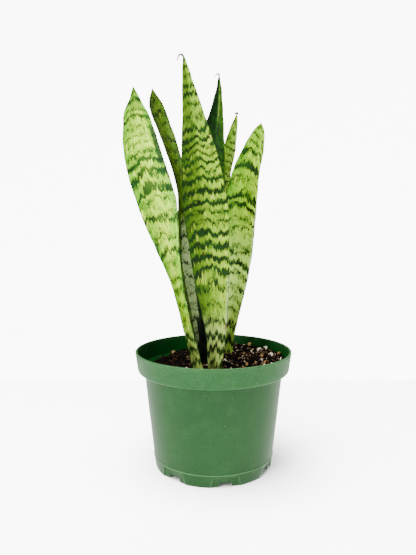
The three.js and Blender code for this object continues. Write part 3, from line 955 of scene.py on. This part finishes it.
def rhizome_skin():
    """Pale orange-brown skin with papery rings round the stem."""
    finish = Finish("rhizome_skin")
    place = finish.place()
    rings = finish.noise(finish.stretch(place, (500, 60, 60)), 1, 2)
    base = finish.mix(rings.step(0.4, 0.65), shade("#a3622c"), shade("#d9a66a"))
    base = finish.mix(finish.noise(place, 150, 3).step(0.55, 0.7) * 0.6, base, shade("#5b371d"))
    normal = finish.bump(rings, 0.0006, 0.7)
    return finish.finish(Base_Color=base, Roughness=0.7, Normal=normal)


BAND_WIDTH = 0.21  # half a strong band's width, as a share of the distance between two bands
THIN_BANDS = 0.75
DOTS = 0.75
DRY_TIP = "#6b4a2c"


def blade_skin(name, look):
    """One leaf's skin. Its ground colour runs from the left margin over the middle to the right
    margin; this change is painted shade where a half of the channel turns from the light and painted
    light where it catches it. Dark bands lie where the stored band count is near a whole number: the
    count is first moved by two noises drawn out along the blade, which makes the bands' edges of fine
    streaks."""
    finish = Finish(f"{name}_skin")
    across, level = finish.number("across"), finish.number("level")
    count, strength = finish.number("bands"), finish.number("strength")
    wide = look["half"]
    seed = look["seed"] * 17.0

    def drawn_out(cross, along, shift, detail=2.0):
        """Noise with the given numbers of cycles in a millimetre across and along the blade."""
        place = finish.join(across * (cross * wide), level * along, seed + shift)
        return finish.noise(place, 1, detail, 0.6)

    wander = drawn_out(0.13, 0.035, 0, 1)
    streak = drawn_out(0.45, 0.05, 5)
    fine = drawn_out(1.3, 0.12, 9)
    hair = drawn_out(3.2, 0.22, 13)
    blotch = drawn_out(0.1, 0.075, 17, 3)
    speckle = drawn_out(0.8, 0.55, 21, 3)
    gaps = drawn_out(0.16, 0.1, 25, 1)
    # painted shade and light: the ground is darker on a half turned from the light and paler on a half
    # that catches it
    from_left = across.step(-1.0, look.get("left_to", 0.0))
    ground = finish.mix(from_left, shade(look["left"]), shade(look["middle"]))
    ground = finish.mix(across.step(look.get("right_from", 0.0), 1.0), ground, shade(look["right"]))
    ground = finish.mix(blotch.step(0.5, 0.7) * 0.6, ground, shade(look["mottle"]))
    ground = finish.mix(fine.step(0.51, 0.64) * 0.75, ground, shade(look["mottle"]))
    ground = finish.mix(streak.step(0.46, 0.32) * 0.7, ground, shade(look["bright"]))
    back = finish.number("back")
    # patches on the front face's ground: most are painted shade, painted shadow or painted highlight, the
    # rest the leaf's own colour
    for start, stop, low, high, soft, colour, share in look.get("strips", []):
        side = across.step(start, start + 0.08) * across.step(stop, stop - 0.08)
        along = level.step(low - soft, low + soft) * level.step(high + soft, high - soft)
        ground = finish.mix(side * along * (1 - back) * share, ground, shade(colour))
    dark = finish.mix(blotch.step(0.35, 0.65), shade(look["band"]), shade(look["band_pale"]))
    moved = count + (wander - 0.5) * 1.2 + (streak - 0.5) * 1.0 + (fine - 0.5) * 0.75 + (hair - 0.5) * 0.4
    reach = strength * look.get("band_width", BAND_WIDTH) + 0.015
    away = moved.wave()
    whole = (gaps - strength * 0.26).step(0.47, 0.37) * 0.85 + 0.15
    # painted sheen: the bands are paler along the middle of the blade
    painted_sheen_middle = 1 - look.get("fade", 0.0) * abs(across + 0.05).step(0.6, 0.1)
    band = (away - reach).step(0.05, -0.03) * whole * painted_sheen_middle * strength.step(0.02, 0.3)
    halo = (away - reach).step(0.2, 0.0) * speckle.step(0.52, 0.6) * strength * 0.5
    between = (count * 2 + 0.5 + (wander - 0.5) * 2.6 + (streak - 0.5) * 1.8 + (fine - 0.5) * 0.8).wave()
    thin = between.step(0.13, 0.04) * gaps.step(0.46, 0.56) * THIN_BANDS
    dots = (drawn_out(0.9, 0.6, 33, 3) + (blotch - 0.5) * 0.7).step(0.58, 0.66)
    dots = dots * look.get("dots", DOTS)
    skin = finish.mix(halo.at_least(dots), ground, dark)
    skin = finish.mix(thin, skin, dark)
    skin = finish.mix(band * (1 - speckle.step(0.56, 0.72) * 0.4), skin, dark)
    for x, z, size, colour in look.get("spots", []):
        away = ((across - x) * wide / size) ** 2.0 + ((level - z) / (size * 1.8)) ** 2.0
        skin = finish.mix((away + (speckle - 0.5) * 1.2).step(1.2, 0.5), skin, shade(colour))
    margin = abs(across).step(0.95, 0.99)
    skin = finish.mix(margin * 0.8, skin, shade(look["margin"]))
    skin = finish.mix(back * (1 - margin) * 0.25, skin, shade(look["band"]))
    skin = finish.mix(finish.number("dry"), skin, shade(look.get("dry", DRY_TIP)))
    rough = 0.4 + blotch * 0.16
    normal = finish.bump(streak, 0.0006, 0.4)
    normal = finish.bump(hair, 0.00015, 0.6, normal)
    normal = finish.bump(speckle, 0.00015, 0.5, normal)
    return finish.finish(Base_Color=skin, Roughness=rough, Normal=normal, Specular_IOR_Level=0.09)


# ---- each leaf's bands and colours ----------------------------------------------------------

def evenly(low, high, gap, strength):
    """Bands at even gaps from low to high, for the stretches that stay in shade."""
    return [(z, strength) for z in np.arange(low, high, gap)]


def roof(left, right, peak, power=1.3):
    """Bands highest at the peak, with the given drops in millimetres at the two margins."""
    def rise(across):
        off = across - peak
        span = np.where(off < 0, 1 + peak, 1 - peak)
        return -np.where(off < 0, left, right) * (np.abs(off) / span) ** power
    return rise


def stepped_roof(left, fall, sag, groove, edge=0.05):
    """Bands that climb to the groove, fall sharply past it and then hang in a shallow bow."""
    def rise(across):
        climb = -left * np.clip((groove - across) / (1 + groove), 0, 1) ** 1.2
        past = smooth_step(groove - edge, groove + edge, across)
        t = np.clip((across - groove) / (1 - groove), 0, 1)
        return climb - past * (fall + sag * 4 * t * (1 - t))
    return rise


# half: the blade's half width in millimetres, for its noises and bands. chevron: a band's rise at
# each place across. bands: height and strength of each dark band. turned: margins that turn. left,
# middle, right: ground colours from margin to margin, which carry painted shade on a half turned from
# the light and painted light on a half that catches it; left fades out by left_to and right begins at
# right_from. strips: start and stop across, low and high up, softness, colour and share of a patch
# on the front face's ground; most patches are painted shade, painted shadow or painted highlight, the
# rest the leaf's own colour. spots: place across, height, size and colour of a brown fleck. thread:
# the dried tip's path, as offsets from the tip. fade: how much paler the bands are along the middle,
# as a painted sheen.
# dry_top: length of the dried end. Most band heights were worked out by a separate program, and the
# colours were typed by hand and then scaled by one.
LEAVES = {
    "leaf_front_left": {
        "seed": 3, "slot": "leaf_pale", "ripple": 0.6, "dry_top": 2.5, "half": 16, "fade": 0.1,
        "dry": "#1c3510", "dots": 0.9, "left_to": -0.1, "right_from": 0.05,
        "chevron": roof(8, 4, -0.1),
        "bands": [(354, 0.6), (347, 1), (339, 0.5), (335, 0.8), (326, 0.4), (318, 0.4), (312, 0.4),
                  (305, 0.5), (298, 1), (288, 1), (271, 0.9), (265, 0.3), (249, 0.7), (230, 0.5),
                  (217, 0.9), (206, 0.3), (191, 0.6), (179, 0.6), (166, 0.5), (151, 0.5), (133, 1),
                  (122, 0.9), (108, 0.8), (95, 0.8)],
        "turned": [Turned(1, 0.8, -30, 206, 275)],
        "left": "#579003", "middle": "#93bb14", "right": "#619b03", "mottle": "#306102",
        "bright": "#c2e029", "band": "#041e05", "band_pale": "#10380d", "margin": "#102e07",
        # strips: a paler foot, partly its own colour and partly painted light against the shade from the
        # pot; a darker tip, its own colour; painted shade on the right margin where it turns from the
        # light; and a painted highlight on the turned margin below it
        "strips": [(-1.1, 1.1, 60, 135, 16, "#b2c86c", 0.7), (-1.1, 1.1, 340, 362, 8, "#3d6a14", 0.6),
                   (0.68, 1.1, 288, 325, 5, "#1c3010", 0.95),
                   (0.8, 1.1, 170, 280, 8, "#6f9e2c", 0.7)],
        "spots": [(0.95, 151, 1.8, "#6e5a34"), (0.97, 279, 1.1, "#46381c")],
    },
    "leaf_tall_centre": {
        "seed": 5, "slot": "leaf_lit", "ripple": 0.5, "half": 20, "band_width": 0.23,
        "thread": [(0.4, 0, -2.4), (-1.6, 0, -0.9), (-3.6, 0, -1.6), (-4.9, 0, -4), (-5.2, 0, -7.6)],
        "thread_size": 1.15, "dry_top": 1.5, "dry": "#2a1a0c",
        "chevron": stepped_roof(7.5, 3.5, 2, 0.12),
        "bands": [(397, 0.7), (391, 0.7), (383, 0.5), (373, 0.9), (366, 1), (355, 0.5), (346, 0.5),
                  (334, 0.9), (325, 0.9), (318, 0.8), (311, 0.5), (304, 0.9), (296, 0.5), (287, 0.9),
                  (275, 0.9), (264, 1), (256, 0.7), (246, 0.5), (235, 1), (224, 1), (211, 1),
                  (201, 0.9), (184, 0.6), (165, 0.3), (150, 0.6), (135, 1), (121, 1), (107, 0.8)],
        "turned": [Turned(1, 0.86, -25, 130, 190)],
        "left": "#2d4901", "middle": "#729810", "right": "#83a71a", "mottle": "#325c01",
        "left_to": 0.3, "right_from": 0.2,
        "bright": "#a7c136", "band": "#021602", "band_pale": "#0a2c06", "margin": "#163204",
        # strips: a paler foot, partly its own colour and partly painted light against the shade from the
        # pot; a lighter top; a painted sheen on the turned right margin; and painted shade on the left
        # half above the middle
        "strips": [(-1.1, 1.1, 60, 145, 16, "#b0c468", 0.65), (-1.1, 1.1, 328, 410, 20, "#6a941c", 0.5),
                   (0.86, 1.1, 122, 192, 8, "#93a878", 0.6), (-1.1, -0.1, 238, 410, 12, "#35500a", 0.5)],
        "spots": [(-0.35, 213, 1.1, "#2e2008"), (0.9, 142, 1.5, "#6a5430"), (0.9, 321, 1.0, "#a0905c")],
    },
    "leaf_back_left": {
        "seed": 7, "slot": "leaf_shaded", "ripple": 0.5, "dry_top": 2, "half": 9,
        "chevron": roof(4, 3, 0),
        "bands": [(370, 0.5), (358, 0.5), (345, 0.4), (329, 0.4), (318, 0.4), (308, 0.4), (292, 0.4),
                  (277, 0.4), *evenly(118, 268, 14, 0.5)],
        "left": "#32460f", "middle": "#405c08", "right": "#3e610a", "mottle": "#203905",
        "bright": "#5c7024", "band": "#030f02", "band_pale": "#0a1d02", "margin": "#0d1c03",
        # strips: a painted shadow along the left margin; the near flap's grey-green underside, its own
        # colour; and three near-black patches of painted shade at the foot, in the channel between the
        # front leaves
        "strips": [(-1.1, -0.72, 258, 308, 4, "#0a1206", 0.9), (-0.6, 1.1, 60, 244, 10, "#869a66", 0.7),
                   (0.3, 1.1, 60, 176, 6, "#020402", 1), (-0.1, 1.1, 60, 147, 6, "#020402", 1),
                   (-0.45, 1.1, 60, 124, 6, "#020402", 1)],
    },
    "leaf_back_dark": {
        "seed": 9, "slot": "leaf_dark", "ripple": 0.4, "half": 13, "left_to": 0.35,
        "thread": [(0.3, 0, -1.6), (-1.0, 0, -0.6), (-2.4, 0, -0.9), (-3.4, 0, -2.2), (-4.2, 0, -3.4)],
        "thread_size": 1.0, "dry": "#2c2a20", "dry_top": 1,
        "chevron": roof(3, 3, 0),
        "bands": [*evenly(110, 290, 13.5, 0.55), (297, 0.5), (303, 0.5), (309, 0.5), (318, 0.5),
                  *evenly(330, 390, 12, 0.3)],
        # left: painted shade on the half turned from the light. strips: a lighter top, and a painted sheen
        # near the tip
        "left": "#001200", "middle": "#053000", "right": "#224e00", "mottle": "#011600",
        "bright": "#153b01", "band": "#010f01", "band_pale": "#031a01", "margin": "#486512",
        "strips": [(0.0, 1.1, 345, 400, 20, "#2c5404", 0.7), (0.15, 0.4, 350, 385, 8, "#8aa040", 0.5)],
    },
    "leaf_back_pale": {
        "seed": 11, "slot": "leaf_lit", "ripple": 0.4, "dry_top": 1.5, "half": 7, "dry": "#2c2a14",
        "thread": [(0.2, 0, -2.6), (-1.4, 0, -1.4), (-2.6, 0, -1.3), (-3.2, 0, -3.4)], "thread_size": 1.5,
        "chevron": roof(2, 1, 0),
        "bands": [*evenly(112, 290, 13.5, 0.5), (295, 0.5), (303, 0.5), (310, 0.5), (317, 0.6),
                  (325, 0.6), (332, 0.5), (343, 0.6), (351, 0.6)],
        "left": "#649217", "middle": "#759f22", "right": "#8bad3b", "mottle": "#3e6b0c",
        "bright": "#97b843", "band": "#062404", "band_pale": "#123a0c", "margin": "#23480b",
    },
    "leaf_right": {
        "seed": 13, "slot": "leaf_lit", "ripple": 0.6, "dry_top": 1.5, "half": 16,
        "chevron": roof(5, 9, -0.15, 2.0),
        "bands": [(343, 0.6), (336, 0.6), (328, 0.6), (320, 0.7), (302, 1), (292, 0.3), (271, 1),
                  (262, 1), (247, 0.5), (240, 0.4), (218, 0.7), (201, 1), (190, 0.6), (177, 0.7),
                  (162, 0.5), (152, 0.5), (137, 0.8), (118, 1), (104, 0.7)],
        "turned": [Turned(1, 0.86, -25, 120, 262)],
        "left": "#578f03", "middle": "#7fb209", "right": "#99c516", "mottle": "#3a6901",
        "bright": "#b9df2b", "band": "#041c03", "band_pale": "#10360a", "margin": "#193706",
        # strips: painted light on the lower part, against the shade it stands in; and a painted sheen on
        # the turned right margin
        "strips": [(-1.1, 1.1, 60, 225, 40, "#b0d65c", 0.75), (0.86, 1.1, 118, 262, 8, "#9db386", 0.6)],
    },
}


# ---- the object -----------------------------------------------------------------------------

def make_object():
    """Every piece, riding on the one body."""
    def place(piece, slot):
        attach(piece, "root")

    pot = make_pot(pot_plastic())
    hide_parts("pot")
    place(pot, "pot_plastic")
    soil = make_soil(potting_mix())
    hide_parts("soil")
    place(soil, "soil")
    finish_rhizome(rhizome_skin())
    crumb = toned("crumb_brown", "#020101", "#0a0503", "#24140a", 0.95, 900)
    place(make_crumbs(crumb), "soil")
    place(make_fibres(toned("fibre_brown", "#1c1008", "#50341c", "#8a6c48", 0.9, 900)), "soil")
    cream = toned("bark_cream", "#20130a", "#8c6c42", "#f2e6c8", 0.8, 700)
    place(make_flakes(cream), "bark_chip")
    for number in range(1, CHIPS + 1):
        place(make_chip(number, cream), "bark_chip")
    for name, look in LEAVES.items():
        place(make_leaf(name, look, blade_skin(name, look)), look["slot"])


# ---- stage, lights and camera ---------------------------------------------------------------

TABLE_SIDE = 1600.0
TABLE_BACK = 282.0
BACKDROP_RADIUS = 5000.0
BACKDROP_SIDES = 96
BACKDROP_GLOW = 9.5
TABLE_GLOW = 0.0  # the table is lit and gives off no light of its own
SHEEN_GLOW = 4.0

PLANT_MIDDLE = (0, 0, 0.2)
# The lights that shine on the plant: name, place, size and power.
LIGHTS = (
    ("window", (-1.1, -1.0, 1.1), (1.1, 1.1), 40),
    ("ceiling", (0.1, -0.2, 1.8), (1.2, 1.2), 30),
    ("fill", (1.3, -0.9, 0.6), (1.2, 1.2), 4),
)
STAGE_LIGHT_POWER = 410
WORLD_STRENGTH = 0.42

CAMERA_PLACE = (-0.0055, -0.503, 0.2317)
CAMERA_TIP = math.radians(85.06)
CAMERA_LENS = 32.89
CAMERA_SENSOR = 36


def make_stage():
    """A pale table top; a duller sheet just under it, which only shows in the object's gloss; and a
    white well that stands far away on all sides and is seen only by the camera."""
    stage = bpy.data.collections.new("stage")
    side, back = TABLE_SIDE, TABLE_BACK
    table = np.array([[-side, -side, 0], [side, -side, 0], [side, back, 0], [-side, back, 0]])
    sides = BACKDROP_SIDES
    turn = np.arange(sides) * 2 * np.pi / sides
    circle = np.stack([np.cos(turn), np.sin(turn), np.zeros(sides)], axis=-1) * BACKDROP_RADIUS
    depth = np.array([0, 0, BACKDROP_RADIUS])
    well = np.vstack([circle * 0.001 - depth, circle - depth, circle + depth])
    around = ring_faces(3, sides)[:, ::-1]
    sheet = np.array([[0, 1, 2, 3]])
    for name, points, faces, colour, glow in (
        ("table_top", table, sheet, "#f1f1ee", TABLE_GLOW),
        ("table_sheen", table - [0, 0, 1], sheet, "#dcefd6", SHEEN_GLOW),
        ("backdrop", well, around, "#f8f8f8", BACKDROP_GLOW),
    ):
        finish = Finish(f"{name}_white")
        base = finish.mix(finish.noise(finish.place(), 6, 2), shade(colour), shade("#fbfbfa"))
        white = finish.finish(Base_Color=base, Roughness=0.8, Specular_IOR_Level=0.1,
                              Emission_Color=base, Emission_Strength=glow)
        piece = add_mesh(name, points, faces, white, False)
        piece.visible_camera = name != "table_sheen"
        piece.visible_diffuse = name == "table_top"
        piece.visible_glossy = name == "table_sheen"
        piece.visible_shadow = name == "table_top"
        stage.objects.link(piece)
    return stage


def add_light(name, place, aim, size, power):
    """A flat rectangular light at a place, turned to face its aim."""
    light = bpy.data.lights.new(name, "AREA")
    light.shape = "RECTANGLE"
    light.size, light.size_y = size
    light.energy = power
    lamp = bpy.data.objects.new(name, light)
    lamp.location = place
    lamp.rotation_euler = (Vector(aim) - Vector(place)).to_track_quat("-Z", "Y").to_euler()
    bpy.context.scene.collection.objects.link(lamp)
    return lamp


def make_lights(stage):
    """Soft lights on the plant, one strong light that reaches only the stage, and an even world."""
    for name, place, size, power in LIGHTS:
        add_light(name, place, PLANT_MIDDLE, size, power)
    floor_light = add_light(
        "floor_light", (-0.3, -0.1, 2.0), (0, 0.1, 0), (1.6, 1.6), STAGE_LIGHT_POWER)
    floor_light.light_linking.receiver_collection = stage
    world = bpy.data.worlds.new("studio")
    world.use_nodes = True
    world.node_tree.nodes["Background"].inputs["Color"].default_value = (1, 1, 1, 1)
    world.node_tree.nodes["Background"].inputs["Strength"].default_value = WORLD_STRENGTH
    bpy.context.scene.world = world


def make_camera():
    """Just over half a metre in front of the pot's axis, level with the leaves' middle, tipped
    a little down."""
    lens = bpy.data.cameras.new("camera")
    lens.lens = CAMERA_LENS
    lens.sensor_width = CAMERA_SENSOR
    camera = bpy.data.objects.new("camera", lens)
    camera.location = CAMERA_PLACE
    camera.rotation_euler = (CAMERA_TIP, 0, 0)
    bpy.context.scene.collection.objects.link(camera)
    bpy.context.scene.camera = camera


make_camera()
make_lights(make_stage())
make_object()
